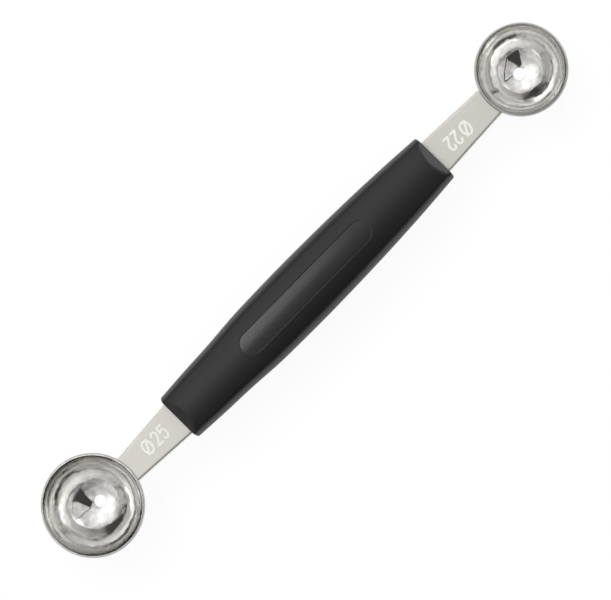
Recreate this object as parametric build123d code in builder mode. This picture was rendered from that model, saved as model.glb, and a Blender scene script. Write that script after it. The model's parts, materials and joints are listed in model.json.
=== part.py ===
from build123d import *
from math import asin, cos, degrees, radians, sin, sqrt, tan
import os

# Double-ended melon baller, in millimetres. X runs along the tool, from the larger cup to the
# smaller one. Both cups open towards +Z, and Z is 0 at the lowest point, under the larger cup.
# X is 0 halfway along the whole tool, and Y is 0 on its long axis.

# Cups: pressed steel hemispheres, each named by the ball that it cuts
ball_diameter_25 = 25.0
ball_diameter_22 = 22.0
cup_wall = 0.6
rim_land = 0.3
rim_bevel_height = 0.5
drain_diameter = 3.2

# Straps that carry the cups: a tapered neck in the open and a tang inside the grip
neck_length_25 = 17.5
neck_length_22 = 18.5
neck_width_mouth = 10.3
neck_width_cup_25 = 8.0
neck_width_cup_22 = 8.5
strap_thickness = 2.0
strap_edge_share = 0.4
strap_drop = 0.8
tang_spacing = 14.0
anchor_diameter = 4.5
anchor_place_shares = (0.35, 0.72)

# Weld fillet under each neck, where it meets its cup
weld_leg = 1.2

# Moulded grip: a crowned oval, widest in the middle. The corner shares place the four rounded
# corners of its outline, and each mouth has a flat land between two slanted facets.
handle_length = 90.5
handle_width = 17.1
handle_thickness = 11.6
corner_width_share = 0.8
corner_height_share = 0.76
corner_radius_share = 0.45
mouth_land_share = 0.65
mouth_edge_radius = 0.6
facet_angle = 37.0

# Recessed panel on the top of the grip, with a flat floor
panel_length = 44.0
panel_width = 6.0
panel_depth = 0.55

# How far a cutting shape runs past the face that it cuts
cut_overrun = 1.0

# Sections of the grip: place along its length, width and thickness, all as shares
grip_shares = (
    (-0.5, 0.784, 0.820),
    (-0.4, 0.847, 0.876),
    (-0.3, 0.893, 0.916),
    (-0.2, 0.966, 0.970),
    (-0.1, 0.992, 0.993),
    (0.0, 1.000, 1.000),
    (0.1, 0.988, 0.991),
    (0.2, 0.964, 0.971),
    (0.3, 0.924, 0.936),
    (0.4, 0.866, 0.886),
    (0.5, 0.792, 0.825),
)

# Places worked out from the sizes above
cup_radius_25 = ball_diameter_25 / 2 + cup_wall
cup_radius_22 = ball_diameter_22 / 2 + cup_wall
overall_length = (
    2 * cup_radius_25 + neck_length_25 + handle_length + neck_length_22 + 2 * cup_radius_22
)
cup_place_25 = -overall_length / 2 + cup_radius_25
cup_place_22 = overall_length / 2 - cup_radius_22
mouth_place_25 = cup_place_25 + cup_radius_25 + neck_length_25
mouth_place_22 = cup_place_22 - cup_radius_22 - neck_length_22
handle_centre = (mouth_place_25 + mouth_place_22) / 2
rim_height = sqrt(cup_radius_25**2 - (drain_diameter / 2) ** 2)
strap_underside = rim_height - strap_drop - strap_thickness
strap_middle = rim_height - strap_drop - strap_thickness / 2
strap_edge_radius = strap_edge_share * strap_thickness
tang_length = (handle_length - tang_spacing) / 2


def make_cup(ball_diameter, cup_place):
    """One cup: a thin hemisphere with a bevelled cutting rim and a drain hole at the bottom."""
    inner_radius = ball_diameter / 2
    outer_radius = inner_radius + cup_wall
    bevel_radius = sqrt(outer_radius**2 - rim_bevel_height**2)
    slant = radians(45)
    with BuildPart() as cup:
        with BuildSketch(Plane((cup_place, 0, rim_height), x_dir=(1, 0, 0), z_dir=(0, -1, 0))):
            with BuildLine():
                ThreePointArc(
                    (0, -outer_radius),
                    (outer_radius * sin(slant), -outer_radius * cos(slant)),
                    (bevel_radius, -rim_bevel_height),
                )
                Line((bevel_radius, -rim_bevel_height), (inner_radius + rim_land, 0))
                Line((inner_radius + rim_land, 0), (inner_radius, 0))
                ThreePointArc(
                    (inner_radius, 0),
                    (inner_radius * sin(slant), -inner_radius * cos(slant)),
                    (0, -inner_radius),
                )
                Line((0, -inner_radius), (0, -outer_radius))
            make_face()
        revolve(axis=Axis((cup_place, 0, 0), (0, 0, 1)))
        with Locations((cup_place, 0, rim_height)):
            Hole(radius=drain_diameter / 2)
    return cup


def make_shank(cup_place, cup_radius, neck_length, neck_width_cup, towards_handle):
    """One strap: its end follows the cup's outside, and its tang has two anchor holes."""
    hidden_start = cup_radius - 2 * strap_thickness
    mouth = cup_radius + neck_length
    tail = mouth + tang_length
    half_cup = neck_width_cup / 2
    half_mouth = neck_width_mouth / 2
    strap_plane = Plane(
        (cup_place, 0, strap_underside), x_dir=(towards_handle, 0, 0), z_dir=(0, 0, 1)
    )
    with BuildPart() as shank:
        with BuildSketch(strap_plane):
            with BuildLine():
                Polyline(
                    (hidden_start, -half_cup),
                    (cup_radius, -half_cup),
                    (mouth, -half_mouth),
                    (tail, -half_mouth),
                    (tail, half_mouth),
                    (mouth, half_mouth),
                    (cup_radius, half_cup),
                    (hidden_start, half_cup),
                    close=True,
                )
            make_face()
        extrude(amount=strap_thickness)
        levels = shank.edges().group_by(Axis.Z)
        long_edges = (levels[0] + levels[-1]).filter_by(Axis.Y, reverse=True)
        fillet(long_edges, radius=strap_edge_radius)
        with BuildSketch(strap_plane):
            with Locations(*[(mouth + share * tang_length, 0) for share in anchor_place_shares]):
                Circle(anchor_diameter / 2)
        extrude(amount=strap_thickness, mode=Mode.SUBTRACT)
        with Locations((cup_place, 0, rim_height)):
            Sphere(cup_radius, mode=Mode.SUBTRACT)
    return shank


def make_weld(cup_place, cup_radius, neck_width_cup, towards_handle):
    """One weld fillet: it follows the cup's outside under the flat part of the neck."""
    top = -strap_drop - strap_thickness
    corner_radius = sqrt(cup_radius**2 - top**2)
    toe_radius = sqrt(cup_radius**2 - (top - weld_leg) ** 2)
    half_angle = degrees(asin((neck_width_cup / 2 - strap_edge_radius) / corner_radius))
    start = radians((0 if towards_handle > 0 else 180) - half_angle)
    profile_plane = Plane(
        (cup_place, 0, rim_height), x_dir=(cos(start), sin(start), 0), z_dir=(sin(start), -cos(start), 0)
    )
    with BuildPart() as weld:
        with BuildSketch(profile_plane):
            with BuildLine():
                RadiusArc((corner_radius + weld_leg, top), (toe_radius, top - weld_leg), 2 * weld_leg)
                Polyline(
                    (toe_radius, top - weld_leg),
                    (toe_radius - weld_leg, top - weld_leg),
                    (toe_radius - weld_leg, top),
                    (corner_radius + weld_leg, top),
                )
            make_face()
        revolve(axis=Axis((cup_place, 0, 0), (0, 0, 1)), revolution_arc=2 * half_angle)
        with Locations((cup_place, 0, rim_height)):
            Sphere(cup_radius, mode=Mode.SUBTRACT)
    return weld


# The two cups
bowl_25 = make_cup(ball_diameter_25, cup_place_25)
bowl_22 = make_cup(ball_diameter_22, cup_place_22)

# The two straps: the larger cup's runs towards +X into the grip, the smaller cup's towards -X
shank_25 = make_shank(cup_place_25, cup_radius_25, neck_length_25, neck_width_cup_25, 1)
shank_22 = make_shank(cup_place_22, cup_radius_22, neck_length_22, neck_width_cup_22, -1)

# The two welds
weld_25 = make_weld(cup_place_25, cup_radius_25, neck_width_cup_25, 1)
weld_22 = make_weld(cup_place_22, cup_radius_22, neck_width_cup_22, -1)

# Grip, moulded over both tangs
with BuildPart() as handle:
    # Crowned oval body, lofted through its sections
    for place_share, width_share, thickness_share in grip_shares:
        section_place = handle_centre + place_share * handle_length
        half_width = width_share * handle_width / 2
        half_height = thickness_share * handle_thickness / 2
        corner_x = corner_width_share * half_width
        corner_y = corner_height_share * half_height
        with BuildSketch(
            Plane((section_place, 0, strap_middle), x_dir=(0, 1, 0), z_dir=(1, 0, 0))
        ) as section:
            with BuildLine():
                ThreePointArc((-corner_x, corner_y), (0, half_height), (corner_x, corner_y))
                ThreePointArc((corner_x, corner_y), (half_width, 0), (corner_x, -corner_y))
                ThreePointArc((corner_x, -corner_y), (0, -half_height), (-corner_x, -corner_y))
                ThreePointArc((-corner_x, -corner_y), (-half_width, 0), (-corner_x, corner_y))
            make_face()
            fillet(section.vertices(), radius=corner_radius_share * half_height)
    loft()

    # Slanted facets above and below the flat land at each mouth
    facet_run = handle_thickness / 2
    facet_rise = facet_run * tan(radians(facet_angle))
    overrun_drop = cut_overrun * tan(radians(facet_angle))
    for mouth_place, outward, end_share in (
        (mouth_place_25, -1, grip_shares[0][2]),
        (mouth_place_22, 1, grip_shares[-1][2]),
    ):
        land_height = mouth_land_share * end_share * handle_thickness / 2
        with BuildSketch(
            Plane((mouth_place, 0, strap_middle), x_dir=(outward, 0, 0), z_dir=(0, -outward, 0))
        ):
            with BuildLine():
                Polyline(
                    (-facet_run, land_height + facet_rise),
                    (cut_overrun, land_height + facet_rise),
                    (cut_overrun, land_height - overrun_drop),
                    close=True,
                )
            make_face()
            mirror(about=Plane.XZ)
        extrude(amount=handle_width, both=True, mode=Mode.SUBTRACT)
    fillet(handle.faces().filter_by(GeomType.PLANE).edges(), radius=mouth_edge_radius)

    # Panel: a slot-shaped pocket with a flat floor, cut down from the crown
    panel_floor = strap_middle + handle_thickness / 2 - panel_depth
    with BuildSketch(Plane((handle_centre, 0, panel_floor))):
        SlotOverall(panel_length, panel_width)
    extrude(amount=panel_depth + cut_overrun, mode=Mode.SUBTRACT)

    # Cavity: the plastic follows both tangs and fills their anchor holes
    add(shank_25.part, mode=Mode.SUBTRACT)
    add(shank_22.part, mode=Mode.SUBTRACT)

pieces = {
    "bowl_25": bowl_25,
    "bowl_22": bowl_22,
    "shank_25": shank_25,
    "shank_22": shank_22,
    "weld_25": weld_25,
    "weld_22": weld_22,
    "handle": handle,
}
os.makedirs("parts", exist_ok=True)
for piece_name, piece in pieces.items():
    piece.part.label = piece_name
    export_step(piece.part, f"parts/{piece_name}.step")
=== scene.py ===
"""Looks of a double-ended melon baller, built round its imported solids.

Two mirror-polished steel cups sit on satin steel straps, with a weld bead under each joint and
one black moulded grip over both tangs. Lengths are written in millimetres times MM, so that
everything is in metres, in the part's own frame: X along the tool, Z the way the cups open.
"""

import json
import logging
import math
from dataclasses import dataclass
from enum import Enum
from typing import Any, ClassVar

import bmesh
import bpy
import numpy as np
from bpy.types import ID, Curve, Material, Mesh, Node, NodeSocket, NodeTree, Object, World
from mathutils import Matrix, Vector

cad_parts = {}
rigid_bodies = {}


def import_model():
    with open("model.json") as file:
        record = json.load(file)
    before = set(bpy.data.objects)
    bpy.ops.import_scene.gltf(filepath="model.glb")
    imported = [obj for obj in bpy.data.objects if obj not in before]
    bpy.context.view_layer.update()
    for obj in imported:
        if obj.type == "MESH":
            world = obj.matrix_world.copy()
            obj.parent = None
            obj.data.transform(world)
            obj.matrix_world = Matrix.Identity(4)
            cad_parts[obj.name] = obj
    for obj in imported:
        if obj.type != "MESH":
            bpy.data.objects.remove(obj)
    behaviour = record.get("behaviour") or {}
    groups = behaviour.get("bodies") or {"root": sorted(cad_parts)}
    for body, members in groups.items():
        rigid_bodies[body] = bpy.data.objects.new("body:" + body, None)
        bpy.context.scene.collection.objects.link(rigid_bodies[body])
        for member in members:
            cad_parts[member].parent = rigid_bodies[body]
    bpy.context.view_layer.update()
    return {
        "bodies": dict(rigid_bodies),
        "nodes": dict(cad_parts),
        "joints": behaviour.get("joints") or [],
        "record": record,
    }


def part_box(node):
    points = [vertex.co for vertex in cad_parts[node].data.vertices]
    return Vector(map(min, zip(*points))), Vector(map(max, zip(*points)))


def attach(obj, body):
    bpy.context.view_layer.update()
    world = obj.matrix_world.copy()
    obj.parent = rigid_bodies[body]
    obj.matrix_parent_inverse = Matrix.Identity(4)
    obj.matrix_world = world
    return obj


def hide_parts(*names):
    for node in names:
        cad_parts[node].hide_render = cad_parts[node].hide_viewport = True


MM = 0.001
BODY = "root"
LOG = logging.getLogger("melon_baller")

Inputs = dict[str | int, Any] | tuple[Any, ...]
Point = tuple[float, float, float]

# Sockets of a Mix node that mixes colours: its share, its two colours and its result. Other
# sockets of it have the same names, so these go by number.
SHARE, FIRST, SECOND, MIXED = 0, 6, 7, 2


def linear(hex_colour: str) -> tuple[float, float, float, float]:
    """Turns an sRGB hex colour into the linear colour that Blender's sockets take.

    Args:
        hex_colour: six hex digits after a hash.

    Returns:
        Linear red, green, blue, and an alpha of 1.
    """
    parts = [int(hex_colour[i : i + 2], 16) / 255 for i in (1, 3, 5)]
    red, green, blue = (c / 12.92 if c <= 0.04045 else ((c + 0.055) / 1.055) ** 2.4 for c in parts)
    return red, green, blue, 1.0


def put(name: str, data: ID) -> Object:
    """Puts a new object at the origin of the scene.

    Args:
        name: its name.
        data: its mesh, curve, camera or light.

    Returns:
        The object.
    """
    thing = bpy.data.objects.new(name, data)
    bpy.context.scene.collection.objects.link(thing)
    return thing


def plain_mesh(thing: Object) -> Mesh:
    """Gives a new mesh of what an object's modifiers make of it."""
    graph = bpy.context.evaluated_depsgraph_get()
    return bpy.data.meshes.new_from_object(thing.evaluated_get(graph))


class NodeKit:
    """Adds nodes to one node tree."""

    def __init__(self, tree: NodeTree) -> None:
        """Takes the tree."""
        self.tree = tree

    @classmethod
    def emptied(cls, owner: Material | World) -> "NodeKit":
        """Starts with no nodes at all.

        Args:
            owner: the material or world that the tree belongs to.

        Returns:
            What adds nodes to that tree.
        """
        owner.use_nodes = True
        owner.node_tree.nodes.clear()
        return cls(owner.node_tree)

    def feed(self, node: Node, inputs: Inputs) -> None:
        """Sets or links a node's inputs.

        Args:
            node: the node.
            inputs: what feeds its sockets, by name or number, or in their order. Each is a value,
                a socket, a node, which stands for its first output, or a list of these.
        """
        for key, value in inputs.items() if isinstance(inputs, dict) else enumerate(inputs):
            for source in value if isinstance(value, list) else [value]:
                if isinstance(source, Node):
                    source = source.outputs[0]
                if isinstance(source, NodeSocket):
                    self.tree.links.new(source, node.inputs[key])
                else:
                    node.inputs[key].default_value = source

    def add(self, kind: str, inputs: Inputs = (), **settings: Any) -> Node:
        """Adds one node with its settings and links.

        Args:
            kind: Blender's name for the kind of node.
            inputs: what feeds its sockets, as `feed` takes it.
            **settings: the node's own settings, by name.

        Returns:
            The new node.
        """
        node = self.tree.nodes.new(kind)
        for name, value in settings.items():
            setattr(node, name, value)
        self.feed(node, inputs)
        return node


class ShapeTree(NodeKit):
    """A Geometry Nodes tree with named inputs, which makes a piece as a plain mesh."""

    # What an input's socket is called for each type of value
    socket_types: ClassVar = {float: "Float", int: "Int", tuple: "Vector", Material: "Material"}

    def __init__(self, name: str, sizes: dict[str, Any]) -> None:
        """Starts the tree, with one input for each size.

        Args:
            name: the name of the piece that it makes.
            sizes: input name to its value. One of them is the material.
        """
        super().__init__(bpy.data.node_groups.new(f"{name}_tree", "GeometryNodeTree"))
        self.name, self.sizes = name, sizes
        face = self.tree.interface
        face.new_socket("Geometry", in_out="INPUT", socket_type="NodeSocketGeometry")
        for label, value in sizes.items():
            face.new_socket(label, in_out="INPUT", socket_type=f"NodeSocket{self.socket_types[type(value)]}")
        face.new_socket("Geometry", in_out="OUTPUT", socket_type="NodeSocketGeometry")
        self.entry = self.add("NodeGroupInput")

    def __getitem__(self, name: str) -> NodeSocket:
        """The socket that carries a named input."""
        return self.entry.outputs[name]

    def make(self, shape: Node, start: Curve | None = None) -> Object:
        """Ends the tree, and keeps what it makes as a plain mesh object at the origin.

        Args:
            shape: the node that gives the finished geometry.
            start: a curve that the tree works on, where it needs one.

        Returns:
            The piece, smooth and with its material.
        """
        real = self.add("GeometryNodeRealizeInstances", (shape,))
        smooth = self.add("GeometryNodeSetShadeSmooth", (real,))
        dressed = self.add("GeometryNodeSetMaterial", {"Geometry": smooth, "Material": self["Material"]})
        self.add("NodeGroupOutput", (dressed,))
        carrier = put(f"{self.name}_source", start or bpy.data.meshes.new(self.name))
        modifier = carrier.modifiers.new("shape", "NODES")
        modifier.node_group = self.tree
        for item in self.tree.interface.items_tree:
            if item.name in self.sizes:
                modifier[item.identifier] = self.sizes[item.name]
        mesh = plain_mesh(carrier)
        bpy.data.objects.remove(carrier)
        return put(self.name, mesh)


class Finish:
    """A finish, which builds a node material named for the real one."""

    name: ClassVar[str]

    def material(self) -> Material:
        """Builds the finish's material.

        Returns:
            A material whose one shader is fed with what `paint` gives.
        """
        material = bpy.data.materials.new(self.name)
        material.use_nodes = True
        kit = NodeKit(material.node_tree)
        where = kit.add("ShaderNodeTexCoord").outputs["Object"]
        kit.feed(kit.tree.nodes["Principled BSDF"], self.paint(kit, where))
        return material

    def paint(self, kit: NodeKit, where: NodeSocket) -> Inputs:
        """Adds the nodes of the finish.

        Args:
            kit: adds nodes to the material.
            where: carries the place on the piece.

        Returns:
            What feeds the shader.
        """
        raise NotImplementedError

    def relief(
        self, kit: NodeKit, where: Any, width: float, depth: float, layers: float = 2.0
    ) -> tuple[Node, Node]:
        """Adds a noise pattern, and the bump that it raises.

        Args:
            kit: adds nodes to the material.
            where: carries the place on the piece.
            width: width of a spot of the pattern.
            depth: height of the bump.
            layers: how many finer patterns lie on it.

        Returns:
            The pattern and the bump.
        """
        noise = kit.add("ShaderNodeTexNoise", {"Vector": where, "Scale": 1 / width, "Detail": layers})
        return noise, kit.add("ShaderNodeBump", {"Height": noise, "Distance": depth, "Strength": 1.0})


@dataclass(frozen=True)
class PolishedSteel(Finish):
    """Stainless steel, pressed and mirror-polished.

    Attributes:
        colour: what the metal reflects of a white light.
        painted_rim_shade: the same for the top of the rim and its bevel, darker as painted shade, so that
            they mirror less of the white floor.
        smooth: roughness of the best polished spots.
        dull: roughness where the polish is thinner.
        spread: the noise values between which the shine changes from one to the other.
        cloud: width of a spot of better polish.
        wave: width of the slow ripples left by pressing.
        wave_height: height of those ripples.
        rim_height: height of the cups' rims.
        rim_shade_depth: how far below the rim that painted shade reaches.
        rim_shade_share: share of that depth above which the painted shade is complete.
        haze_depth: how far below the rim the polish starts to turn hazy.
        haze_share: share of that depth above which it is haziest.
        haze: roughness that the haze adds there.
    """

    name: ClassVar[str] = "mirror_polished_stainless_steel"
    colour: str = "#E4E3E0"
    painted_rim_shade: str = "#B4B3B0"
    smooth: float = 0.03
    dull: float = 0.14
    spread: tuple[float, float] = (0.38, 0.68)
    cloud: float = 3.0 * MM
    wave: float = 5.0 * MM
    wave_height: float = 0.16 * MM
    rim_height: float = 13.0 * MM
    rim_shade_depth: float = 0.55 * MM
    rim_shade_share: float = 0.8
    haze_depth: float = 10.5 * MM
    haze_share: float = 1 / 3
    haze: float = 0.09

    def paint(self, kit: NodeKit, where: NodeSocket) -> Inputs:
        """Adds the nodes of the finish.

        Args:
            kit: adds nodes to the material.
            where: carries the place on the piece.

        Returns:
            What feeds the shader.
        """
        # Cloudy polish: the shine changes a little from place to place
        cloud = kit.add("ShaderNodeTexNoise", {"Vector": where, "Scale": 1 / self.cloud, "Detail": 3.0})
        shine = kit.add("ShaderNodeMapRange", (cloud, *self.spread, self.smooth, self.dull))
        # Towards the rim the polishing wheel has less hold, and the shine turns hazy
        height = kit.add("ShaderNodeSeparateXYZ", (where,)).outputs["Z"]
        start = self.rim_height - self.haze_depth
        full = self.rim_height - self.haze_depth * self.haze_share
        rise = (height, start, full, 0.0, self.haze)
        haze = kit.add("ShaderNodeMapRange", rise, interpolation_type="SMOOTHSTEP")
        # Over the rim and its bevel the colour turns darker: painted shade, so that they mirror less of the
        # white floor
        start = self.rim_height - self.rim_shade_depth
        full = self.rim_height - self.rim_shade_depth * self.rim_shade_share
        edge = kit.add("ShaderNodeMapRange", (height, start, full))
        metals = {SHARE: edge, FIRST: linear(self.colour), SECOND: linear(self.painted_rim_shade)}
        # Slow ripples from the press bend the reflections slightly
        _, bump = self.relief(kit, where, self.wave, self.wave_height)
        return {
            "Base Color": kit.add("ShaderNodeMix", metals, data_type="RGBA").outputs[MIXED],
            "Metallic": 1.0,
            "Roughness": kit.add("ShaderNodeMath", (shine, haze), operation="ADD"),
            "Normal": bump,
        }


@dataclass(frozen=True)
class SatinSteel(Finish):
    """Stainless steel strip with a fine brushed satin finish along its length.

    Attributes:
        colour: what the metal reflects of a white light.
        smooth: roughness along the brightest brush lines.
        dull: roughness between them.
        line_width: width of a brush line, drawn coarser than the real 0.03 mm so that it shows.
        line_length: length of a brush line.
        line_depth: depth of a brush line.
        face_height: height of the strips' upper face.
        edge_depths: how far below that face the rounded edges start, and are complete.
        painted_edge_highlight: what those edges reflect of a white light, paler than the face as a painted
            highlight.
        edge_polish: how much smoother they are than the face.
    """

    name: ClassVar[str] = "satin_brushed_stainless_steel"
    colour: str = "#D7D5CE"
    smooth: float = 0.40
    dull: float = 0.50
    line_width: float = 0.12 * MM
    line_length: float = 6.0 * MM
    line_depth: float = 0.002 * MM
    face_height: float = 12.2 * MM
    edge_depths: tuple[float, float] = (0.02 * MM, 0.2 * MM)
    painted_edge_highlight: str = "#F8F6F0"
    edge_polish: float = 0.1

    def paint(self, kit: NodeKit, where: NodeSocket) -> Inputs:
        """Adds the nodes of the finish.

        Args:
            kit: adds nodes to the material.
            where: carries the place on the piece.

        Returns:
            What feeds the shader.
        """
        along = (1 / self.line_length, 1 / self.line_width, 1 / self.line_width)
        # The place is stretched in units of a line, so the pattern's own width is 1
        stretched = kit.add("ShaderNodeMapping", {"Vector": where, "Scale": along})
        lines, bump = self.relief(kit, stretched, 1.0, self.line_depth, layers=4.0)
        shine = kit.add("ShaderNodeMapRange", (lines, 0.0, 1.0, self.smooth, self.dull))
        # The rounded long edges get a paler colour, a painted highlight, and a little less roughness
        height = kit.add("ShaderNodeSeparateXYZ", (where,)).outputs["Z"]
        start, full = (self.face_height - depth for depth in self.edge_depths)
        edge = kit.add("ShaderNodeMapRange", (height, full, start, 1.0, 0.0))
        metals = {SHARE: edge, FIRST: linear(self.colour), SECOND: linear(self.painted_edge_highlight)}
        polish = (edge, -self.edge_polish, shine)
        return {
            "Base Color": kit.add("ShaderNodeMix", metals, data_type="RGBA").outputs[MIXED],
            "Metallic": 1.0,
            "Roughness": kit.add("ShaderNodeMath", polish, operation="MULTIPLY_ADD"),
            "Normal": bump,
        }


@dataclass(frozen=True)
class WeldSteel(Finish):
    """Weld bead, left as it froze: duller than the strip, with a faint straw tint.

    Attributes:
        cool: colour of the clean metal.
        warm: colour of the heat tint.
        patch: width of a tinted patch.
        roughness: how dull the bead is.
    """

    name: ClassVar[str] = "weld_bead_stainless_steel"
    cool: str = "#C9C7C2"
    warm: str = "#BDB29E"
    patch: float = 1.6 * MM
    roughness: float = 0.32

    def paint(self, kit: NodeKit, where: NodeSocket) -> Inputs:
        """Adds the nodes of the finish.

        Args:
            kit: adds nodes to the material.
            where: carries the place on the piece.

        Returns:
            What feeds the shader.
        """
        patches = kit.add("ShaderNodeTexNoise", {"Vector": where, "Scale": 1 / self.patch})
        tints = {SHARE: patches, FIRST: linear(self.cool), SECOND: linear(self.warm)}
        tint = kit.add("ShaderNodeMix", tints, data_type="RGBA").outputs[MIXED]
        return {"Base Color": tint, "Metallic": 1.0, "Roughness": self.roughness}


@dataclass(frozen=True)
class EtchedSteel(Finish):
    """Steel frosted by a laser: the size marks, paler and duller than the strip round them.

    Attributes:
        colour: what the frosted metal reflects of a white light.
        bare: share of the surface that is bare metal between the frosted spots.
        roughness: how dull the frost is.
        grain: width of a frosted spot, drawn coarser than the real 0.02 mm so that it shows.
        depth: height of the frosted spots.
    """

    name: ClassVar[str] = "laser_frosted_stainless_steel"
    colour: str = "#F7F5F1"
    bare: float = 0.6
    roughness: float = 0.62
    grain: float = 0.09 * MM
    depth: float = 0.004 * MM

    def paint(self, kit: NodeKit, where: NodeSocket) -> Inputs:
        """Adds the nodes of the finish.

        Args:
            kit: adds nodes to the material.
            where: carries the place on the piece.

        Returns:
            What feeds the shader.
        """
        _, bump = self.relief(kit, where, self.grain, self.depth)
        colour = linear(self.colour)
        return {"Base Color": colour, "Metallic": self.bare, "Roughness": self.roughness, "Normal": bump}


@dataclass(frozen=True)
class MouldedPlastic(Finish):
    """Black polypropylene moulded against a finely eroded tool: a matt skin with a low sheen.

    Attributes:
        colour: the plastic's own colour.
        index: its refractive index.
        smooth: roughness on the tops of the grain.
        dull: roughness between them.
        grain: width of a grain, drawn coarser than the real 0.05 mm so that it shows.
        depth: height of a grain.
    """

    name: ClassVar[str] = "moulded_matt_black_polypropylene"
    colour: str = "#0D0B0A"
    index: float = 1.49
    smooth: float = 0.34
    dull: float = 0.46
    grain: float = 0.22 * MM
    depth: float = 0.006 * MM

    def paint(self, kit: NodeKit, where: NodeSocket) -> Inputs:
        """Adds the nodes of the finish.

        Args:
            kit: adds nodes to the material.
            where: carries the place on the piece.

        Returns:
            What feeds the shader.
        """
        grains, bump = self.relief(kit, where, self.grain, self.depth, layers=3.0)
        shine = kit.add("ShaderNodeMapRange", (grains, 0.0, 1.0, self.smooth, self.dull))
        return {"Base Color": linear(self.colour), "IOR": self.index, "Roughness": shine, "Normal": bump}


@dataclass
class Cup:
    """One cup: a thin steel hemisphere with a bevelled rim and a drain hole.

    Attributes:
        node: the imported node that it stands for.
        ball_diameter: diameter of the ball that it cuts.
        wall: thickness of the steel.
        rim_land: width of the flat on the rim.
        rim_bevel: height of the bevel outside that flat.
        drain_diameter: diameter of the hole at the bottom.
        edge: width of the rounding at each sharp edge.
        edge_steps: faces across that rounding.
        edge_angle: turn in degrees from which an edge is sharp.
        steps_round: faces round the cup.
        steps_down: points from rim to hole, inside and outside.
    """

    node: str
    ball_diameter: float
    wall: float = 0.6 * MM
    rim_land: float = 0.3 * MM
    rim_bevel: float = 0.5 * MM
    drain_diameter: float = 3.2 * MM
    edge: float = 0.09 * MM
    edge_steps: int = 3
    edge_angle: float = 20.0
    steps_round: int = 192
    steps_down: int = 48

    @property
    def outer_radius(self) -> float:
        """The radius of the cup's outside."""
        return self.ball_diameter / 2 + self.wall

    def start_shape(self, finish: Finish) -> ShapeTree:
        """Starts the cup's tree, with the sizes of the wall's section as its inputs.

        Args:
            finish: the cup's finish.

        Returns:
            The tree.
        """
        low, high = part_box(self.node)
        inner, outer, hole = self.ball_diameter / 2, self.outer_radius, self.drain_diameter / 2
        hole_outside = math.acos(hole / outer)
        sizes = {
            "Inner Radius": inner,
            "Outer Radius": outer,
            "Inside Sweep": math.acos(hole / inner),
            "Outside Start": hole_outside,
            "Outside Sweep": math.asin(self.rim_bevel / outer) - hole_outside,
            "Land Edge": (inner + self.rim_land, 0.0, 0.0),
            "Section Shift": (-outer, 0.0, 0.0),
            "Steps Round": self.steps_round,
            "Steps Down": self.steps_down,
            "Place": ((low.x + high.x) / 2, (low.y + high.y) / 2, high.z),
            "Material": finish.material(),
        }
        return ShapeTree(f"{self.node}_shell", sizes)

    def soften(self, cup: Object) -> None:
        """Rounds the cup's sharp edges and keeps the result in its mesh.

        Args:
            cup: the cup.
        """
        bevel = cup.modifiers.new("edge", "BEVEL")
        bevel.width = self.edge
        bevel.segments = self.edge_steps
        bevel.limit_method = "ANGLE"
        bevel.angle_limit = math.radians(self.edge_angle)
        bevel.harden_normals = True
        mesh = plain_mesh(cup)
        cup.modifiers.clear()
        cup.data = mesh

    def build(self, finish: Finish) -> Object:
        """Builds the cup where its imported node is, by turning the wall's section round its axis.

        The section is drawn with X out from the axis and Y down from the rim. It runs down the
        inside from rim to hole, back up the outside to the bevel's foot, and ends at the land.

        Args:
            finish: the cup's finish.

        Returns:
            The cup.
        """
        shape = self.start_shape(finish)
        inside = {"Radius": shape["Inner Radius"], "Sweep Angle": shape["Inside Sweep"]}
        outside = {"Radius": shape["Outer Radius"], "Sweep Angle": shape["Outside Sweep"]}
        outside["Start Angle"] = shape["Outside Start"]
        runs = []
        for run in (inside, outside):
            arc = shape.add("GeometryNodeCurveArc", run | {"Resolution": shape["Steps Down"]}, mode="RADIUS")
            runs.append(shape.add("GeometryNodeCurveToPoints", (arc,), mode="EVALUATED"))
        land = shape.add("GeometryNodePoints", {"Count": 1, "Position": shape["Land Edge"]})
        # The last link made into a join is the first in its order
        joined = shape.add("GeometryNodeJoinGeometry", ([land, *reversed(runs)],))
        line = shape.add("GeometryNodePointsToCurves", (joined,))
        closed = shape.add("GeometryNodeSetSplineCyclic", {"Geometry": line, "Cyclic": True})
        # The section stands out from the circle that it is swept along by the circle's own radius
        shift = {"Geometry": closed, "Translation": shape["Section Shift"]}
        section = shape.add("GeometryNodeTransform", shift)
        turn = {"Resolution": shape["Steps Round"], "Radius": shape["Outer Radius"]}
        circle = shape.add("GeometryNodeCurvePrimitiveCircle", turn, mode="RADIUS")
        swept = shape.add("GeometryNodeCurveToMesh", {"Curve": circle, "Profile Curve": section})
        # The section runs the way that turns the faces inwards, so they are turned back
        outward = shape.add("GeometryNodeFlipFaces", (swept,))
        place = {"Geometry": outward, "Translation": shape["Place"]}
        cup = shape.make(shape.add("GeometryNodeTransform", place))
        self.soften(cup)
        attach(cup, BODY)
        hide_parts(self.node)
        return cup


@dataclass
class Strap:
    """One steel strap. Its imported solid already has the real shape, so it stays and is dressed.

    Attributes:
        node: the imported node.
    """

    node: str

    def dress(self, frame: dict[str, Any], finish: Finish) -> Object:
        """Gives the strap its finish.

        Args:
            frame: the loaded frame.
            finish: the strap's finish.

        Returns:
            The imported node's object.
        """
        strap = frame["nodes"][self.node]
        for slot in strap.material_slots:
            slot.material = finish.material()
        return strap


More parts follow.
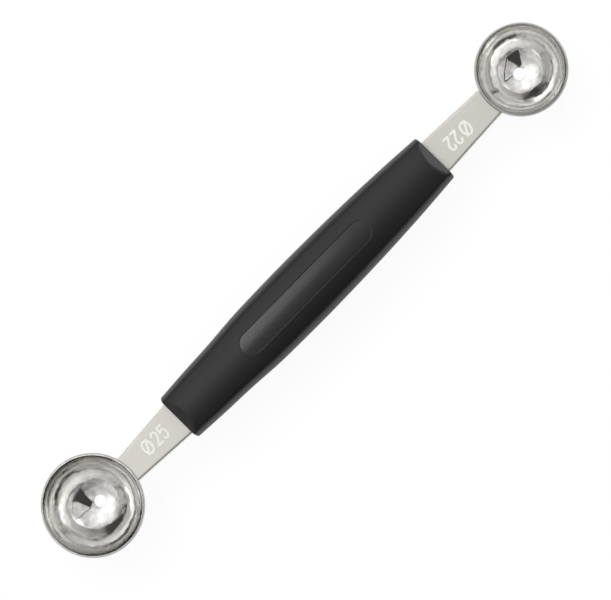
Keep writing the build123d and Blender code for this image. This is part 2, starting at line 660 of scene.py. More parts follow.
@dataclass
class WeldBead:
    """One weld bead: a rippled run of filler in the corner between a cup and its strap.

    Attributes:
        node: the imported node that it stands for.
        cup: the cup that it holds.
        facing: 1 where the strap leaves the cup towards +X, -1 towards -X.
        half_width: half the length of the bead across the strap.
        strap_depth: how far the strap's underside lies below the rim.
        radius: radius of the bead.
        shift: how far the bead's middle lies out from the corner, and down.
        ripple: spacing of the ripples.
        ripple_share: height of a ripple, as a share of the radius.
        taper_shares: shares of the run, each with the share that is left of the radius there.
        steps: points along the bead.
        section_steps: points round it.
    """

    node: str
    cup: Cup
    facing: int
    half_width: float
    strap_depth: float = 2.8 * MM
    radius: float = 0.95 * MM
    shift: tuple[float, float] = (0.42 * MM, 0.3 * MM)
    ripple: float = 0.55 * MM
    ripple_share: float = 0.05
    taper_shares: tuple[tuple[float, float], ...] = ((0.0, 0.45), (0.12, 0.95), (0.88, 0.95), (1.0, 0.45))
    steps: int = 120
    section_steps: int = 28

    def start_shape(self, finish: Finish) -> ShapeTree:
        """Starts the bead's tree, with its sizes as inputs.

        Args:
            finish: the bead's finish.

        Returns:
            The tree.
        """
        low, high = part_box(self.cup.node)
        path_radius = math.sqrt(self.cup.outer_radius**2 - self.strap_depth**2) + self.shift[0]
        half_angle = math.asin(self.half_width / path_radius)
        middle = 0.0 if self.facing > 0 else math.pi
        sizes = {
            "Radius": path_radius,
            "Start Angle": middle - half_angle,
            "Sweep Angle": 2 * half_angle,
            "Bead Radius": self.radius,
            "Ripples": 2 * self.half_width / self.ripple,
            "Ripple Share": self.ripple_share,
            "Resolution": self.steps,
            "Section Steps": self.section_steps,
            "Place": ((low.x + high.x) / 2, 0.0, high.z - self.strap_depth - self.shift[1]),
            "Material": finish.material(),
        }
        return ShapeTree(f"{self.node}_bead", sizes)

    def build(self, finish: Finish) -> Object:
        """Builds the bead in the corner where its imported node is.

        Args:
            finish: the bead's finish.

        Returns:
            The bead.
        """
        shape = self.start_shape(finish)
        run = {name: shape[name] for name in ("Resolution", "Radius", "Start Angle", "Sweep Angle")}
        path = shape.add("GeometryNodeCurveArc", run, mode="RADIUS")
        circle = {"Resolution": shape["Section Steps"], "Radius": shape["Bead Radius"]}
        section = shape.add("GeometryNodeCurvePrimitiveCircle", circle, mode="RADIUS")
        # Each ripple swells and falls off again along the run, and the ends taper
        share = shape.add("GeometryNodeSplineParameter").outputs["Factor"]
        turns = shape.add("ShaderNodeMath", (share, shape["Ripples"]), operation="MULTIPLY")
        wave = shape.add("ShaderNodeMath", (turns, 1.0), operation="PINGPONG")
        growth = (wave, shape["Ripple Share"], 1.0)
        swell = shape.add("ShaderNodeMath", growth, operation="MULTIPLY_ADD")
        taper = shape.add("ShaderNodeFloatCurve", {"Value": share})
        points = taper.mapping.curves[0].points
        first, *inner, last = self.taper_shares
        points[0].location, points[1].location = first, last
        for place, size in inner:
            points.new(place, size)
        taper.mapping.update()
        scale = shape.add("ShaderNodeMath", (swell, taper), operation="MULTIPLY")
        sweep = {"Curve": path, "Profile Curve": section, "Scale": scale, "Fill Caps": True}
        swept = shape.add("GeometryNodeCurveToMesh", sweep)
        place = {"Geometry": swept, "Translation": shape["Place"]}
        bead = shape.make(shape.add("GeometryNodeTransform", place))
        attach(bead, BODY)
        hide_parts(self.node)
        return bead


def arc_radius(half_chord: Any, rise: Any) -> Any:
    """Finds the radius of an arc from half its chord and its rise, as numbers or arrays."""
    return (half_chord**2 + rise**2) / (2 * rise)


@dataclass
class Grip:
    """The moulded grip: a crowned oval body with faceted mouths and a recessed panel.

    The body is a set of sections joined along the tool. Each section has the same number of
    points, counted from the middle of its top, round by +Y. Its place across the tool is measured
    from the grip's own axis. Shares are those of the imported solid.

    Attributes:
        node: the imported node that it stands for.
        thickness: thickness in the middle.
        girth_shares: share of the length from the middle, then of the width and the thickness.
        corner_width_share: place of the outline's corners across, as a share of the half width.
        corner_height_share: their place up, as a share of the half thickness.
        corner_radius_share: their radius, as a share of the half thickness.
        mouth_land_share: half height of the flat mouth, as a share of the end's half thickness.
        mouth_edge: radius of the mouth's rounded edge.
        mouth_face_share: how far inside that edge the face's first ring lies, as a share of it.
        facet_angle: slope of the facets above and below the mouth, in degrees.
        facet_sharpness: how crisp the facets' edges are; more is sharper.
        panel_length: length of the panel.
        panel_width: width of the panel.
        panel_depth: depth of the panel at the crown.
        panel_crown: how much its floor rises from the long edges to the middle line.
        panel_edge: radius of the panel's upper edge.
        panel_foot: radius at the foot of the panel's wall.
        patch_share: how far the patch that holds the panel runs past it, as a share of its width.
        patch_shares: places of the rings from the patch's rim in to the panel.
        floor_margin: how far in from the panel's wall its floor starts, in radii of the foot.
        floor_shares: places of the rings across the floor, as shares of the half width.
        step: spacing of the sections.
        fine_step: their spacing near the mouths.
        fine_length: how far from each mouth that spacing runs.
        steps: spaces between points on a quarter's top, corner and side.
        round_steps: faces across the rounding of the mouths, the panel's edge and its foot.
    """

    node: str = "handle"
    thickness: float = 11.6 * MM
    girth_shares: tuple[Point, ...] = (
        (-0.5, 0.784, 0.820),
        (-0.4, 0.847, 0.876),
        (-0.3, 0.893, 0.916),
        (-0.2, 0.966, 0.970),
        (-0.1, 0.992, 0.993),
        (0.0, 1.000, 1.000),
        (0.1, 0.988, 0.991),
        (0.2, 0.964, 0.971),
        (0.3, 0.924, 0.936),
        (0.4, 0.866, 0.886),
        (0.5, 0.792, 0.825),
    )
    corner_width_share: float = 0.8
    corner_height_share: float = 0.76
    corner_radius_share: float = 0.45
    mouth_land_share: float = 0.65
    mouth_edge: float = 0.6 * MM
    mouth_face_share: float = 0.25
    facet_angle: float = 37.0
    facet_sharpness: float = 40.0
    panel_length: float = 44.0 * MM
    panel_width: float = 6.0 * MM
    panel_depth: float = 0.55 * MM
    panel_crown: float = 0.1 * MM
    panel_edge: float = 0.07 * MM
    panel_foot: float = 0.05 * MM
    patch_share: float = 2 / 3
    patch_shares: tuple[float, ...] = (0.2, 0.4, 0.6, 0.8, 1.0)
    floor_margin: float = 3.0
    floor_shares: tuple[float, ...] = (0.75, 0.5, 0.25, 0.05)
    step: float = 0.75 * MM
    fine_step: float = 0.25 * MM
    fine_length: float = 4.0 * MM
    steps: tuple[int, int, int] = (10, 8, 8)
    round_steps: tuple[int, int, int] = (6, 4, 3)

    def __post_init__(self) -> None:
        """Takes the grip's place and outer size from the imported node."""
        low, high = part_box(self.node)
        self.start, self.end = low.x, high.x
        self.middle = (low.x + high.x) / 2
        self.half_width = (high.y - low.y) / 2
        self.half_height = self.thickness / 2
        self.axis_height = low.z + self.half_height
        self.points: list[Point] = []
        self.faces: list[tuple[int, ...]] = []
        self.floor_faces: set[int] = set()

    def girth(self, along: np.ndarray) -> tuple[np.ndarray, np.ndarray]:
        """Finds the half width and half thickness at places along the tool.

        Args:
            along: the places.

        Returns:
            Half widths and half thicknesses, from a smooth curve through the shares.
        """
        table = np.array(self.girth_shares)
        slopes = np.gradient(table[:, 1:], table[:, 0], axis=0)
        share = (along - self.start) / (self.end - self.start) - 0.5
        cell = np.clip(np.searchsorted(table[:, 0], share) - 1, 0, len(table) - 2)
        span = table[cell + 1, 0] - table[cell, 0]
        t = ((share - table[cell, 0]) / span)[:, None]
        span = span[:, None]
        values = (
            (2 * t**3 - 3 * t**2 + 1) * table[cell, 1:]
            + (t**3 - 2 * t**2 + t) * span * slopes[cell]
            + (3 * t**2 - 2 * t**3) * table[cell + 1, 1:]
            + (t**3 - t**2) * span * slopes[cell + 1]
        )
        return values[:, 0] * self.half_width, values[:, 1] * self.half_height

    def crown(self, half_width: Any, half_height: Any) -> tuple[Any, Any]:
        """Finds the arc over a section's top, or over several at once.

        Args:
            half_width: the section's half width.
            half_height: its half thickness.

        Returns:
            The arc's radius, and the height of its centre from the axis.
        """
        rise = (1 - self.corner_height_share) * half_height
        radius = arc_radius(self.corner_width_share * half_width, rise)
        return radius, half_height - radius

    def section(self, half_width: float, half_height: float) -> np.ndarray:
        """Draws one section.

        Args:
            half_width: its half width.
            half_height: its half thickness.

        Returns:
            Its points, each across and up from the axis.
        """
        top_radius, top_centre = self.crown(half_width, half_height)
        rise = (1 - self.corner_width_share) * half_width
        side_radius = arc_radius(self.corner_height_share * half_height, rise)
        side_centre = half_width - side_radius
        corner_radius = self.corner_radius_share * half_height
        # The corner's circle touches both arcs from inside: its centre is where two circles meet
        reach_top, reach_side = top_radius - corner_radius, side_radius - corner_radius
        apart = math.hypot(side_centre, top_centre)
        along = (reach_top**2 - reach_side**2 + apart**2) / (2 * apart)
        aside = math.sqrt(reach_top**2 - along**2)
        towards = np.array((side_centre, -top_centre)) / apart
        corner = np.array((0.0, top_centre)) + along * towards + aside * np.array((towards[1], -towards[0]))
        turn_top = math.atan2(corner[0], corner[1] - top_centre)
        turn_side = math.atan2(corner[0] - side_centre, corner[1])
        on_top, on_corner, on_side = self.steps
        across = np.linspace(0.0, top_radius * math.sin(turn_top), on_top + 1)
        parts = [np.stack((across, top_centre + np.sqrt(top_radius**2 - across**2)), axis=1)]
        side = np.array((side_centre, 0.0))
        for centre, radius, first, last, count in (
            (corner, corner_radius, turn_top, turn_side, on_corner),
            (side, side_radius, turn_side, math.pi / 2, on_side),
        ):
            turns = np.linspace(first, last, count + 1)[1:, None]
            parts.append(centre + radius * np.hstack((np.sin(turns), np.cos(turns))))
        quarter = np.vstack(parts)
        half = np.vstack((quarter, quarter[-2::-1] * (1, -1)))
        return np.vstack((half, half[-2:0:-1] * (-1, 1)))

    def cut_section(self, along: float) -> np.ndarray:
        """Draws the section at a place along the tool, cut by the mouths' facets.

        Args:
            along: the place.

        Returns:
            Its points, each across and up from the axis.
        """
        half_width, half_height = (float(v[0]) for v in self.girth(np.array([along])))
        outline = self.section(half_width, half_height)
        for mouth, row in ((self.start, 0), (self.end, -1)):
            land = self.mouth_land_share * self.girth_shares[row][2] * self.half_height
            limit = land + abs(along - mouth) * math.tan(math.radians(self.facet_angle))
            over = np.abs(outline[:, 1:]) / limit
            outline = outline * (1 + over**self.facet_sharpness) ** (-1 / self.facet_sharpness)
        return outline

    def add_ring(self, along: Any, across: np.ndarray, up: Any) -> list[int]:
        """Adds a ring of points.

        Args:
            along: places along the tool, or one for all.
            across: places across it.
            up: heights above the grip's axis, or one for all.

        Returns:
            The points' numbers.
        """
        first = len(self.points)
        along, up = np.broadcast_to(along, across.shape), np.broadcast_to(up, across.shape)
        ring = zip(along, across, up)
        self.points += [(float(x), float(y), float(z) + self.axis_height) for x, y, z in ring]
        return list(range(first, first + len(across)))

    def join_rings(self, one: list[int], two: list[int]) -> None:
        """Joins two closed rings of points with faces."""
        for k, after in enumerate([*range(1, len(one)), 0]):
            self.faces.append((one[k], one[after], two[after], two[k]))

    def mouth_rings(self, mouth: float, inward: int) -> list[list[int]]:
        """Rounds the body into one flat mouth.

        Args:
            mouth: place of the mouth's face.
            inward: 1 where the grip runs towards +X from it, -1 towards -X.

        Returns:
            Rings of points, from the mouth's face to where the rounding meets the body.
        """
        end = self.cut_section(mouth)
        inner = self.cut_section(mouth + inward * self.mouth_edge)
        reach = np.linalg.norm(end, axis=1)
        slope = (np.linalg.norm(inner, axis=1) - reach) / self.mouth_edge
        centre = reach + self.mouth_edge * (slope - np.sqrt(1 + slope**2))
        outward = end / reach[:, None]
        face = outward * (centre - self.mouth_edge * self.mouth_face_share)[:, None]
        rings = [self.add_ring(mouth, face[:, 0], face[:, 1])]
        for share in np.linspace(0.0, 1.0, self.round_steps[0] + 1):
            turn = math.pi - share * (math.pi / 2 - np.arctan(slope))
            ring = outward * (centre + self.mouth_edge * np.sin(turn))[:, None]
            depth = self.mouth_edge * (1 + np.cos(turn))
            rings.append(self.add_ring(mouth + inward * depth, ring[:, 0], ring[:, 1]))
        return rings

    def add_panel(self, rim: list[int]) -> None:
        """Sinks the panel into the open patch on top of the body.

        Args:
            rim: the points round the patch.
        """
        place = np.array([self.points[k] for k in rim])
        radius = self.panel_width / 2
        run = self.panel_length / 2 - radius
        spine = np.clip(place[:, 0], self.middle - run, self.middle + run)
        ray = place[:, :2] - np.stack((spine, np.zeros_like(spine)), axis=1)
        length = np.linalg.norm(ray, axis=1)
        ray /= length[:, None]
        edge, foot = self.panel_edge, self.panel_foot
        lip = radius + edge
        support = lip + edge
        patch = []
        for reach in [length + (support - length) * share for share in self.patch_shares] + [lip]:
            crown_radius, crown_centre = self.crown(*self.girth(spine + ray[:, 0] * reach))
            up = crown_centre + np.sqrt(crown_radius**2 - (ray[:, 1] * reach) ** 2)
            patch.append((reach, up))
        # The floor is crowned like the grip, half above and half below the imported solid's flat one
        bend = self.panel_crown / radius**2
        floor = self.half_height - self.panel_depth + self.panel_crown / 2
        edge_turns, foot_turns = (np.linspace(0.0, math.pi / 2, n + 1) for n in self.round_steps[1:])
        walls = [(lip - edge * math.sin(t), up - edge * (1 - math.cos(t))) for t in edge_turns[1:]]
        for t in foot_turns:
            reach = radius - foot * (1 - math.cos(t))
            walls.append((reach, floor + foot * (1 - math.sin(t)) - bend * (ray[:, 1] * reach) ** 2))
        reaches = [radius - self.floor_margin * foot, *(radius * share for share in self.floor_shares)]
        floors = [(reach, floor - bend * (ray[:, 1] * reach) ** 2) for reach in reaches]
        ring = rim
        for level in (patch, walls, floors):
            first_face = len(self.faces)
            for reach, up in level:
                after = self.add_ring(spine + ray[:, 0] * reach, ray[:, 1] * reach, up)
                self.join_rings(ring, after)
                ring = after
        self.floor_faces.update(range(first_face, len(self.faces) + 1))
        self.faces.append(tuple(ring))

    def add_body(self) -> list[int]:
        """Adds the body, mouths and all, but leaves a patch on its top open for the panel.

        Returns:
            The points round that patch.
        """
        fine = np.arange(self.mouth_edge + self.fine_step, self.fine_length, self.fine_step)
        first, last = self.start + self.fine_length, self.end - self.fine_length
        middle = np.linspace(first, last, round((last - first) / self.step) + 1)
        stations = np.concatenate((self.start + fine, middle, self.end - fine[::-1]))
        rings = self.mouth_rings(self.start, 1)
        front = len(rings)
        for along in stations:
            outline = self.cut_section(float(along))
            rings.append(self.add_ring(along, outline[:, 0], outline[:, 1]))
        rings += self.mouth_rings(self.end, -1)[::-1]
        half_patch = self.panel_length / 2 + self.panel_width * self.patch_share
        patch_ends = (self.middle - half_patch, self.middle + half_patch)
        before, after = np.searchsorted(stations, patch_ends) + front
        on_top = self.steps[0]
        count = len(rings[0])
        for row, (near, far) in enumerate(zip(rings, rings[1:])):
            for k in range(count):
                on_patch = before <= row < after and (k < on_top or k >= count - on_top)
                if not on_patch:
                    follow = (k + 1) % count
                    self.faces.append((near[k], far[k], far[follow], near[follow]))
        self.faces += [tuple(rings[0]), tuple(rings[-1][::-1])]
        top = [k % count for k in range(-on_top, on_top + 1)]
        rim = [rings[before][k] for k in top]
        rim += [rings[row][on_top] for row in range(before + 1, after)]
        rim += [rings[after][k] for k in reversed(top)]
        rim += [rings[row][count - on_top] for row in range(after - 1, before, -1)]
        return rim

    def build(self, finish: Finish, floor_finish: Finish) -> Object:
        """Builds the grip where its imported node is.

        Args:
            finish: the body's finish.
            floor_finish: the finish of the panel's floor.

        Returns:
            The grip.
        """
        self.add_panel(self.add_body())
        mesh = bpy.data.meshes.new("grip_body")
        mesh.from_pydata(self.points, [], self.faces)
        for coat in (finish, floor_finish):
            mesh.materials.append(coat.material())
        for face in mesh.polygons:
            face.use_smooth = True
            face.material_index = int(face.index in self.floor_faces)
        # The sections leave points under the panel that nothing uses
        work = bmesh.new()
        work.from_mesh(mesh)
        loose = [point for point in work.verts if not point.link_faces]
        bmesh.ops.delete(work, geom=loose, context="VERTS")
        bmesh.ops.recalc_face_normals(work, faces=work.faces)
        work.to_mesh(mesh)
        work.free()
        grip = put("grip_body", mesh)
        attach(grip, BODY)
        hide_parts(self.node)
        return grip


@dataclass(frozen=True)
class Stroke:
    """One stroke of a glyph, on a grid that runs from -1 to 1 both ways.

    Attributes:
        points: the points that its middle line runs through, smoothly.
        closed: whether its end meets its start.
    """

    points: tuple[tuple[float, float], ...]
    closed: bool = False

    @classmethod
    def ring(cls, count: int = 12) -> "Stroke":
        """Draws a circle through a number of points."""
        turns = [math.tau * k / count for k in range(count)]
        return cls(tuple((math.cos(turn), math.sin(turn)) for turn in turns), closed=True)


class Glyph(Enum):
    """The characters of the size marks. A sharp corner is where two strokes meet."""

    DIAMETER = (Stroke.ring(), Stroke(((-0.75, -0.95), (0.72, 0.95))))
    TWO = (
        Stroke(
            (
                (-0.95, 0.55), (-0.62, 0.88), (0.0, 1.0), (0.68, 0.86),
                (0.95, 0.5), (0.7, 0.05), (-0.1, -0.45), (-1.0, -1.0),
            )
        ),
        Stroke(((-1.0, -1.0), (1.0, -1.0))),
    )
    FIVE = (
        Stroke(((0.9, 1.0), (-0.85, 1.0))),
        Stroke(((-0.85, 1.0), (-0.95, 0.14))),
        Stroke(
            (
                (-0.95, 0.14), (-0.35, 0.36), (0.3, 0.34), (0.86, 0.02), (0.95, -0.42),
                (0.55, -0.86), (-0.1, -1.0), (-0.65, -0.94), (-1.0, -0.74),
            )
        ),
    )


@dataclass
class SizeMark:
    """One size mark on a strap: thin frosted strokes, raised by less than a hair.

    Attributes:
        name: the piece's name.
        strap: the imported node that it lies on.
        letters: each glyph with its place along the tool.
        across: how far the mark's middle lies from the tool's axis.
        turned: whether it reads from the other side.
        sign_width: width of the diameter sign, to the middle of the stroke.
        digit_width: width of a digit.
        height: height of the glyphs.
        stroke: width of a stroke.
        rise: thickness of a stroke; half of it lies in the strap.
        sides: points round a stroke's section and its round ends.
        end_rings: rings of faces on a round end, from top to foot.
        bend_steps: steps from one point of a stroke to the next.
        merge_share: how near two ends count as the same, as a share of a stroke's width.
    """

    name: str
    strap: str
    letters: tuple[tuple[Glyph, float], ...]
    across: float
    turned: bool
    sign_width: float = 2.4 * MM
    digit_width: float = 1.5 * MM
    height: float = 3.5 * MM
    stroke: float = 0.56 * MM
    rise: float = 0.03 * MM
    sides: int = 16
    end_rings: int = 6
    bend_steps: int = 8
    merge_share: float = 0.001

    def lines(self) -> Curve:
        """Draws the strokes' middle lines on the strap.

        Returns:
            A curve with one smooth spline for each stroke.
        """
        _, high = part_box(self.strap)
        sign = -1.0 if self.turned else 1.0
        lines = bpy.data.curves.new(self.name, "CURVE")
        lines.dimensions = "3D"
        lines.resolution_u = self.bend_steps
        for glyph, along in self.letters:
            width = self.sign_width if glyph is Glyph.DIAMETER else self.digit_width
            for stroke in glyph.value:
                spline = lines.splines.new("BEZIER")
                spline.use_cyclic_u = stroke.closed
                spline.bezier_points.add(len(stroke.points) - 1)
                for point, (x, y) in zip(spline.bezier_points, stroke.points):
                    point.handle_left_type = point.handle_right_type = "AUTO"
                    x, y = along + sign * x * width / 2, self.across + sign * y * self.height / 2
                    point.co = (x, y, high.z)
        return lines

    def build(self, finish: Finish) -> Object:
        """Builds the mark on its strap, with the width and the round ends of its strokes.

        Args:
            finish: the mark's finish.

        Returns:
            The mark.
        """
        sizes = {
            "Stroke Section": (self.stroke, self.rise, 1.0),
            "End Size": (self.stroke, self.stroke, self.rise),
            "Merge Distance": self.stroke * self.merge_share,
            "Sides": self.sides,
            "End Rings": self.end_rings,
            "Material": finish.material(),
        }
        shape = ShapeTree(self.name, sizes)
        lines = shape["Geometry"]
        unit = {"Resolution": shape["Sides"], "Radius": 0.5}
        circle = shape.add("GeometryNodeCurvePrimitiveCircle", unit, mode="RADIUS")
        flat = {"Geometry": circle, "Scale": shape["Stroke Section"]}
        section = shape.add("GeometryNodeTransform", flat)
        sweep = {"Curve": lines, "Profile Curve": section, "Fill Caps": True}
        swept = shape.add("GeometryNodeCurveToMesh", sweep)
        unit = {"Segments": shape["Sides"], "Rings": shape["End Rings"], "Radius": 0.5}
        ball = shape.add("GeometryNodeMeshUVSphere", unit)
        tips = shape.add("GeometryNodeCurveEndpointSelection")
        balls = {"Points": lines, "Selection": tips, "Instance": ball, "Scale": shape["End Size"]}
        ends = shape.add("GeometryNodeInstanceOnPoints", balls)
        # Where two strokes meet, each brings the same end, and one of the two is merged away
        real = shape.add("GeometryNodeRealizeInstances", (ends,))
        merge = {"Geometry": real, "Distance": shape["Merge Distance"]}
        single = shape.add("GeometryNodeMergeByDistance", merge)
        joined = shape.add("GeometryNodeJoinGeometry", ([swept, single],))
        mark = shape.make(joined, start=self.lines())
        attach(mark, BODY)
        return mark


@dataclass(frozen=True)
class Card:
    """A flat dark card of the studio, with soft edges, which only mirrors see.

    A stand's cards are dark parts of the stand; the unlit side's card is painted shade, a dark
    sheet where the room only lies in shade.

    Attributes:
        name: the card's name.
        corners: its corners, in order.
        fade: width of its soft edge, inside those corners.
        colour: its colour.
    """

    name: str
    corners: tuple[Point, ...]
    fade: float
    colour: str = "#454341"

    @classmethod
    def leg(cls, name: str, top: Point, foot: Point, width: float = 0.018, fade: float = 0.005) -> "Card":
        """Cuts a narrow card that runs from one point to another.

        Args:
            name: the card's name.
            top: where it starts.
            foot: where it ends.
            width: its width, level across.
            fade: width of its soft edge.

        Returns:
            The card.
        """
        one, two = Vector(top), Vector(foot)
        aside = (two - one).cross(Vector((0, 0, 1))).normalized() * width / 2
        corners = (one + aside, two + aside, two - aside, one - aside)
        return cls(name, tuple(tuple(corner) for corner in corners), fade)

    def build(self) -> None:
        """Hangs the card."""
        material = bpy.data.materials.new(f"{self.name}_stand_dark_and_painted_shade")
        kit = NodeKit.emptied(material)
        # The dark colour is the card's own, but on the unlit side's card it is painted shade
        cloth = kit.add("ShaderNodeEmission", {"Color": linear(self.colour), "Strength": 1.0})
        air = kit.add("ShaderNodeBsdfTransparent")
        cover = kit.add("ShaderNodeAttribute", attribute_name="cover").outputs["Fac"]
        mixed = kit.add("ShaderNodeMixShader", (cover, air, cloth))
        kit.add("ShaderNodeOutputMaterial", {"Surface": mixed})
        # The card's dark colour covers the inner face fully, and thins out to nothing across the ring round
        # it
        work = bmesh.new()
        inner = work.faces.new([work.verts.new(corner) for corner in self.corners])
        bmesh.ops.inset_individual(work, faces=[inner], thickness=self.fade)
        layer = work.verts.layers.float.new("cover")
        for point in inner.verts:
            point[layer] = 1.0
        mesh = bpy.data.meshes.new(self.name)
        work.to_mesh(mesh)
        work.free()
        mesh.materials.append(material)
        card = put(self.name, mesh)
        card.visible_camera = card.visible_diffuse = card.visible_shadow = False


@dataclass(frozen=True)
class Window:
    """A soft patch of the surroundings, far away, brighter or darker than the rest.

    Attributes:
        towards: direction of its middle, from the tool.
        core: angle from that middle to where it starts to fade, in degrees.
        edge: angle to where it has faded out, in degrees.
        gain: how much brighter than the rest its middle is; below 0, darker.
    """

    towards: Point
    core: float
    edge: float
    gain: float

    def add_to(self, kit: NodeKit, direction: NodeSocket, light: Node) -> Node:
        """Adds the patch to a world's brightness.

        Args:
            kit: adds nodes to the world.
            direction: the socket that carries the direction looked in.
            light: the node that gives the brightness so far.

        Returns:
            The node that gives the new brightness.
        """
        pair = (direction, Vector(self.towards).normalized())
        nearness = kit.add("ShaderNodeVectorMath", pair, operation="DOT_PRODUCT").outputs["Value"]
        outer, inner = (math.cos(math.radians(angle)) for angle in (self.edge, self.core))
        rise = (nearness, outer, inner, 0.0, self.gain)
        patch = kit.add("ShaderNodeMapRange", rise, interpolation_type="SMOOTHSTEP")
        return kit.add("ShaderNodeMath", (patch, light), operation="ADD")


@dataclass
class Studio:
    """The floor, lights and camera round the tool.

    Attributes:
        lens: focal length for a sensor as wide as `sensor`.
        sensor: width of the camera's sensor, in Blender's millimetres.
        nearest: distance from which the camera sees.
        eye: where the camera stands.
        aim: a point that lies in the middle of the picture.
        right: the direction that the picture's right side points.
        floor_size: side of the floor.
        floor_touch: two points along the tool where the floor meets the cups.
        paper: colour of the floor.
        glow: how much of the floor's white is its own, so that it stays white but for shadows.
        mirrored_glow: the same where steel mirrors the floor, which shows more of the shadows.
        key_place: middle of the key light.
        key_size: width and depth of the key light.
        key_power: power of the key light, in watts.
        sky: brightness of the white surroundings.
        cloth: how strongly the folds of the cloth round the tool vary that brightness.
        folds: how many folds there are across the radius of the surroundings.
        windows: the soft patches of the surroundings.
        cards: what the steel mirrors: a stand's arm and legs, and painted shade for the room's unlit side.
    """

    lens: float = 124.22
    sensor: float = 36.0
    nearest: float = 0.01
    eye: Point = (21.22 * MM, -23.74 * MM, 532.67 * MM)
    aim: Point = (-1.22 * MM, -1.92 * MM, 13.0 * MM)
    right: Point = (0.70166, -0.71252, 0.0)
    floor_size: float = 6.0
    floor_touch: tuple[tuple[float, float], ...] = ((-73.25 * MM, 0.0), (77.95 * MM, 1.513 * MM))
    paper: str = "#FAFAFA"
    glow: float = 0.92
    mirrored_glow: float = 0.3
    key_place: Point = (0.0, 0.42, 0.5)
    key_size: tuple[float, float] = (0.45, 0.3)
    key_power: float = 1.8
    sky: float = 0.69
    cloth: float = 0.9
    folds: float = 4.5
    windows: tuple[Window, ...] = (
        Window((-0.11, 0.14, 1.0), 1, 7, 3.0),
        Window((-0.1, 0.15, 1.0), 0, 40, 0.12),
        Window((0.03, 0.13, 1.0), 1, 6, -0.3),
        Window((0.0, -0.13, 1.0), 1, 8, -0.4),
        Window((-0.33, 0.33, 0.88), 4, 24, 0.6),
        Window((0.0, 0.64, 0.77), 4, 28, 0.5),
        Window((0.3, 0.25, 0.92), 0, 20, 0.2),
        Window((0.47, 0.47, 0.74), 2, 22, 0.3),
        Window((-0.25, -0.75, 0.6), 10, 40, -0.35),
        Window((-0.1, 0.98, 0.25), 10, 40, -0.25),
        Window((0.98, 0.0, 0.12), 10, 32, 2.4),
    )
    cards: tuple[Card, ...] = (
        Card(
            "stand_arm",
            ((-0.05, -0.08, 0.42), (0.05, -0.05, 0.43), (0.088, -0.206, 0.168), (-0.09, -0.226, 0.168)),
            fade=0.02,
        ),
        # The unlit side: a dark sheet of painted shade, where the room only lies in shade
        Card(
            "unlit_side",
            ((-0.95, -0.7, 0.03), (0.95, -0.7, 0.03), (0.65, -0.7, 0.4), (-0.55, -0.7, 0.4)),
            fade=0.14,
            colour="#3A3938",
        ),
        Card.leg("stand_leg_0", (0.05, -0.03, 0.48), (0.299, -0.041, 0.209)),
        Card.leg("stand_leg_1", (0.299, -0.041, 0.209), (0.08, -0.2, 0.176)),
    )

    def build_camera(self) -> None:
        """Sets the camera where the photograph was taken from."""
        data = bpy.data.cameras.new("camera")
        data.lens = self.lens
        data.sensor_width = self.sensor
        data.clip_start = self.nearest
        camera = put("camera", data)
        back = (Vector(self.eye) - Vector(self.aim)).normalized()
        up = back.cross(Vector(self.right)).normalized()
        axes = Matrix((up.cross(back), up, back)).transposed()
        camera.matrix_world = Matrix.Translation(self.eye) @ axes.to_4x4()
        bpy.context.scene.camera = camera

    def build_floor(self) -> None:
        """Lays a white floor that both cups touch. It keeps the tool's shadow."""
        (x0, z0), (x1, z1) = self.floor_touch
        slope = (z1 - z0) / (x1 - x0)
        half = self.floor_size / 2
        places = ((-half, -half), (half, -half), (half, half), (-half, half))
        mesh = bpy.data.meshes.new("floor")
        mesh.from_pydata([(x, y, z0 + (x - x0) * slope) for x, y in places], [], [(0, 1, 2, 3)])
        material = bpy.data.materials.new("white_paper_floor")
        kit = NodeKit.emptied(material)
        rays = kit.add("ShaderNodeLightPath").outputs
        seen, glossy = rays["Is Camera Ray"], rays["Is Glossy Ray"]
        paper = kit.add("ShaderNodeBsdfDiffuse", {"Color": linear(self.paper)})
        white = kit.add("ShaderNodeEmission", {"Strength": 1.0})
        mirrored = kit.add("ShaderNodeMath", (glossy, self.mirrored_glow), operation="MULTIPLY")
        share = kit.add("ShaderNodeMath", (seen, self.glow, mirrored), operation="MULTIPLY_ADD")
        mixed = kit.add("ShaderNodeMixShader", (share, paper, white))
        # Its underside lets the camera through, so that the tool can be looked at from below
        back = kit.add("ShaderNodeNewGeometry").outputs["Backfacing"]
        under = kit.add("ShaderNodeMath", (seen, back), operation="MULTIPLY")
        air = kit.add("ShaderNodeBsdfTransparent")
        sheet = kit.add("ShaderNodeMixShader", (under, mixed, air))
        kit.add("ShaderNodeOutputMaterial", {"Surface": sheet})
        mesh.materials.append(material)
        floor = put("floor", mesh)

    def build_world(self) -> None:
        """Surrounds the tool with white, seen at full white by the camera."""
        world = bpy.data.worlds.new("studio")
        bpy.context.scene.world = world
        kit = NodeKit.emptied(world)
        direction = kit.add("ShaderNodeTexCoord").outputs["Generated"]
        cloth = {"Vector": direction, "Scale": self.folds, "Detail": 2.0}
        folds = kit.add("ShaderNodeTexNoise", cloth)
        spread = (folds, self.cloth, self.sky - self.cloth / 2)
        light = kit.add("ShaderNodeMath", spread, operation="MULTIPLY_ADD")
        for window in self.windows:
            light = window.add_to(kit, direction, light)
        seen = kit.add("ShaderNodeLightPath").outputs["Is Camera Ray"]
        strength = kit.add("ShaderNodeMapRange", (seen, 0.0, 1.0, light, 1.0))
        sky = kit.add("ShaderNodeBackground", {"Color": linear("#FFFFFF"), "Strength": strength})
        kit.add("ShaderNodeOutputWorld", {"Surface": sky})

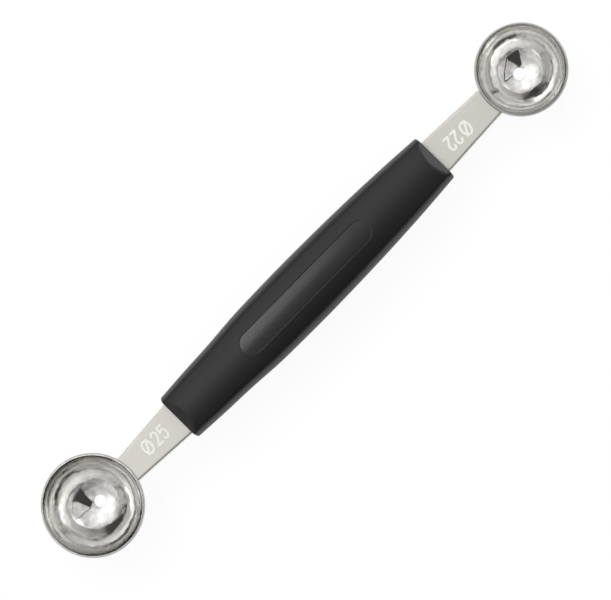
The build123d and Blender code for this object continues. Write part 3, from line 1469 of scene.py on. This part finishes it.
    def build_key(self) -> None:
        """Hangs the soft key light on the side that the photograph is lit from."""
        data = bpy.data.lights.new("key", "AREA")
        data.shape = "RECTANGLE"
        data.size, data.size_y = self.key_size
        data.energy = self.key_power
        lamp = put("key", data)
        lamp.visible_glossy = False
        place = Vector(self.key_place)
        lamp.matrix_world = Matrix.Translation(place) @ place.to_track_quat("Z", "Y").to_matrix().to_4x4()

    def build(self) -> None:
        """Builds the whole studio."""
        bpy.context.scene.view_settings.view_transform = "Standard"
        self.build_camera()
        self.build_floor()
        self.build_world()
        self.build_key()
        for card in self.cards:
            card.build()


def main() -> None:
    """Builds the melon baller's looks and the studio round it, and reports each piece."""
    logging.basicConfig(level=logging.INFO, format="%(name)s: %(message)s")
    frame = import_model()
    large, small = Cup("bowl_25", 25.0 * MM), Cup("bowl_22", 22.0 * MM)
    beads = (
        WeldBead("weld_25", large, facing=1, half_width=3.2 * MM),
        WeldBead("weld_22", small, facing=-1, half_width=3.45 * MM),
    )
    letters_25 = ((Glyph.DIAMETER, -54.85 * MM), (Glyph.TWO, -51.8 * MM), (Glyph.FIVE, -49.45 * MM))
    letters_22 = ((Glyph.DIAMETER, 56.6 * MM), (Glyph.TWO, 53.5 * MM), (Glyph.TWO, 51.2 * MM))
    marks = (
        SizeMark("mark_25", "shank_25", letters_25, across=0.46 * MM, turned=False),
        SizeMark("mark_22", "shank_22", letters_22, across=-0.41 * MM, turned=True),
    )
    # The panel's floor is smoother than the rest of the grip
    floor_plastic = MouldedPlastic(smooth=0.13, dull=0.17, depth=0.001 * MM)
    pieces = [cup.build(PolishedSteel()) for cup in (large, small)]
    pieces += [Strap(node).dress(frame, SatinSteel()) for node in ("shank_25", "shank_22")]
    pieces += [bead.build(WeldSteel()) for bead in beads]
    pieces += [mark.build(EtchedSteel()) for mark in marks]
    pieces += [Grip().build(MouldedPlastic(), floor_plastic)]
    for piece in pieces:
        LOG.info("%s: %d faces", piece.name, len(piece.data.polygons))
    Studio().build()


if __name__ == "__main__":
    main()
